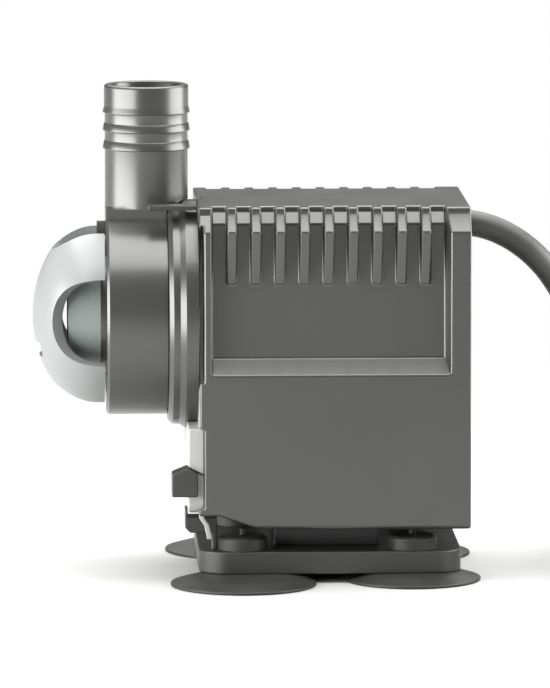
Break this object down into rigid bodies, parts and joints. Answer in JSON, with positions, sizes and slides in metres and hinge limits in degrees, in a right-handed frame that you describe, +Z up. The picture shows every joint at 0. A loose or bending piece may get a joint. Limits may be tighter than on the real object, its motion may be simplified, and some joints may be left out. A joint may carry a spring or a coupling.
{
  "type": "submersible circulation pump",
  "caption": "Submersible circulation pump: ribbed motor housing on a suction-cup foot, twist-lock head with hose barb, turning intake dome and coiled mains lead.",
  "frame": {"origin": "on the floor, midway between the dome's nose and the rear cups' rims, on the rotor axis's vertical plane", "axes": "+Z up, the rotor axis along X with the intake dome towards -X, +Y to the far side"},
  "size_m": [0.1907, 0.0969, 0.097],
  "materials": {
    "dark_plastic": "satin moulded plastic",
    "pale_plastic": "satin moulded plastic",
    "sleeve_plastic": "satin moulded plastic",
    "black_rubber": "matt rubber",
    "cord_sheath": "semi-matt flexible sheath",
    "core_steel": "stacked electrical steel sheets",
    "copper_wire": "enamelled copper wire",
    "bobbin_plastic": "glass filled plastic",
    "resin": "cast resin",
    "white_plastic": "natural acetal",
    "ceramic": "ground ceramic",
    "ferrite": "sintered ferrite",
    "brown_wire": "wire insulation",
    "blue_wire": "wire insulation",
    "cutout_case": "moulded case",
    "strap": "woven strap",
    "plug_metal": "plated brass"
  },
  "bodies": {
    "motor": {"housing": "dark_plastic", "front_plate": "pale_plastic", "head_collar": "dark_plastic", "rotor_can": "pale_plastic", "stator_yoke": "core_steel", "stator_poles": "core_steel", "coil_bobbins": "bobbin_plastic", "coil_windings": "copper_wire", "potting_block": "resin", "thermal_cutout": "cutout_case", "live_wire": "brown_wire", "neutral_wire": "blue_wire", "cord_end": "cord_sheath", "cable_gland": "black_rubber", "rear_bush": "black_rubber", "ceramic_shaft": "ceramic", "foot_plate": "dark_plastic", "cup_front_near": "black_rubber", "cup_front_far": "black_rubber", "cup_rear_near": "black_rubber", "cup_rear_far": "black_rubber", "cord_run": "cord_sheath", "cord_coil": "cord_sheath", "cord_tail": "cord_sheath", "cord_tie": "strap", "plug_body": "cord_sheath", "plug_pins": "plug_metal"},
    "rotor": {"rotor_magnet": "ferrite", "rotor_sleeve": "white_plastic"},
    "impeller": {"impeller": "white_plastic"},
    "head": {"pump_head": "dark_plastic", "head_seal": "black_rubber", "front_bush": "black_rubber", "inlet_sleeve": "sleeve_plastic"},
    "regulator": {"flow_regulator": "pale_plastic"},
    "latch": {"head_latch": "dark_plastic"},
    "catch": {"foot_catch": "dark_plastic"}
  },
  "joints": [
    {"name": "rotor_spin", "type": "hinge", "parent": "motor", "child": "rotor", "pos_m": [0, 0, 0.0513], "axis": [1, 0, 0], "continuous": true},
    {"name": "impeller_lash", "type": "hinge", "parent": "rotor", "child": "impeller", "pos_m": [0, 0, 0.0513], "axis": [1, 0, 0], "range_deg": [-110, 110]},
    {"name": "head_twist", "type": "hinge", "parent": "motor", "child": "head", "pos_m": [0, 0, 0.0513], "axis": [1, 0, 0], "range_deg": [-30, 0]},
    {"name": "regulator_turn", "type": "hinge", "parent": "head", "child": "regulator", "pos_m": [0, 0, 0.0513], "axis": [1, 0, 0], "range_deg": [-18, 18]},
    {"name": "latch_flex", "type": "hinge", "parent": "motor", "child": "latch", "pos_m": [-0.012, -0.0096, 0.0736], "axis": [0, 1, 0], "range_deg": [0, 7], "stiffness_Nm_per_rad": 0.05},
    {"name": "catch_slide", "type": "slide", "parent": "motor", "child": "catch", "axis": [0, 0, 1], "range_m": [0, 0.002]}
  ]
}
